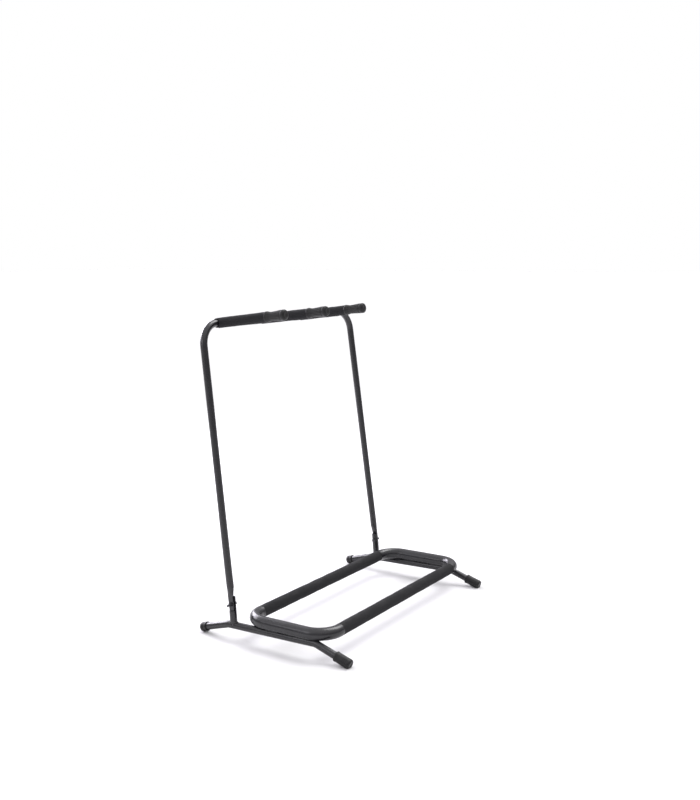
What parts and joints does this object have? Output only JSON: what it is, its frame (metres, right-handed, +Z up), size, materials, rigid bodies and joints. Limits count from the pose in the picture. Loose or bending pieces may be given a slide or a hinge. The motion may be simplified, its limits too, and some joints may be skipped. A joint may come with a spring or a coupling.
{
  "type": "guitar rack",
  "caption": "Folding guitar rack: padded tube cradle on arched feet, with a hinged neck frame whose padded pegs keep the necks apart.",
  "frame": {"origin": "on the floor, under the middle of the rack", "axes": "+X along the row of instruments to the rack's right, -Y to the front where the instruments are lifted out, +Z up"},
  "size_m": [0.6282, 0.3971, 0.7143],
  "materials": {
    "black_paint": "satin",
    "foam": "matte",
    "black_rubber": "matte",
    "black_zinc": "satin"
  },
  "bodies": {
    "base": {"cradle_end_left": "black_paint", "cradle_end_right": "black_paint", "foot_tube_left": "black_paint", "foot_tube_right": "black_paint", "hinge_stub_left": "black_paint", "hinge_stub_right": "black_paint", "front_rail": "black_paint", "rear_rail": "black_paint", "front_rail_foam": "foam", "rear_rail_foam": "foam", "front_foot_cap_left": "black_rubber", "front_foot_cap_right": "black_rubber", "rear_foot_cap_left": "black_rubber", "rear_foot_cap_right": "black_rubber", "pivot_bolt_left": "black_zinc", "pivot_bolt_right": "black_zinc", "pivot_washer_left": "black_zinc", "pivot_washer_right": "black_zinc", "pivot_nut_left": "black_zinc", "pivot_nut_right": "black_zinc", "pivot_spacer_left": "black_zinc", "pivot_spacer_right": "black_zinc", "rail_screws": "black_zinc"},
    "neck_frame": {"neck_frame_tube": "black_paint", "top_bar_foam": "foam", "neck_peg_left": "black_paint", "neck_peg_middle": "black_paint", "neck_peg_right": "black_paint", "peg_foam_left": "foam", "peg_foam_middle": "foam", "peg_foam_right": "foam", "peg_cap_left": "black_rubber", "peg_cap_middle": "black_rubber", "peg_cap_right": "black_rubber"}
  },
  "joints": [
    {"name": "frame_fold", "type": "hinge", "parent": "base", "child": "neck_frame", "pos_m": [0, 0.109, 0.078], "axis": [1, 0, 0], "range_deg": [0, 97]}
  ]
}
